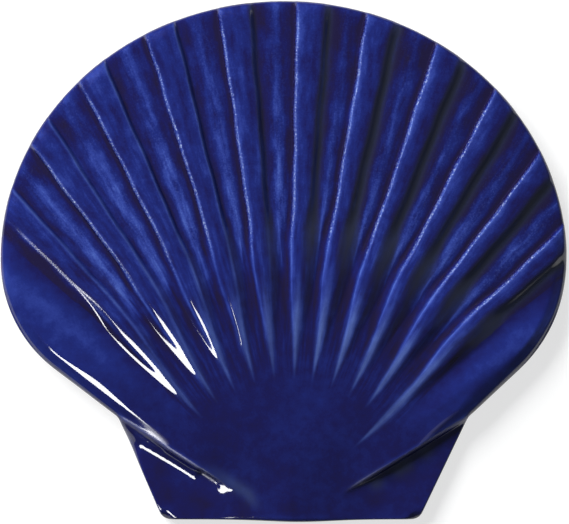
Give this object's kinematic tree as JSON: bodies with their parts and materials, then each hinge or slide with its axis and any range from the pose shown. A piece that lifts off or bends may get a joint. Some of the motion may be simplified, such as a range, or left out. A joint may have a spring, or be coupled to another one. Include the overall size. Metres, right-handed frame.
{
  "type": "scallop shell pool mosaic tile",
  "caption": "Scallop shell accent tile in glazed ceramic: ribs fan out from a flat eared foot over a crowned face, and its flat back is bedded in mortar on a pool wall or floor.",
  "frame": {"origin": "centre of the tile's box, on the flat back", "axes": "+Z out of the glazed face, +Y from the foot to the top of the rim, +X to the right"},
  "size_m": [0.127, 0.1168, 0.0099],
  "materials": {
    "glaze": "cobalt blue gloss glaze that pools dark in the channels and breaks pale on the rib tips"
  },
  "bodies": {
    "root": {"scallop_tile": "glaze"}
  },
  "joints": []
}
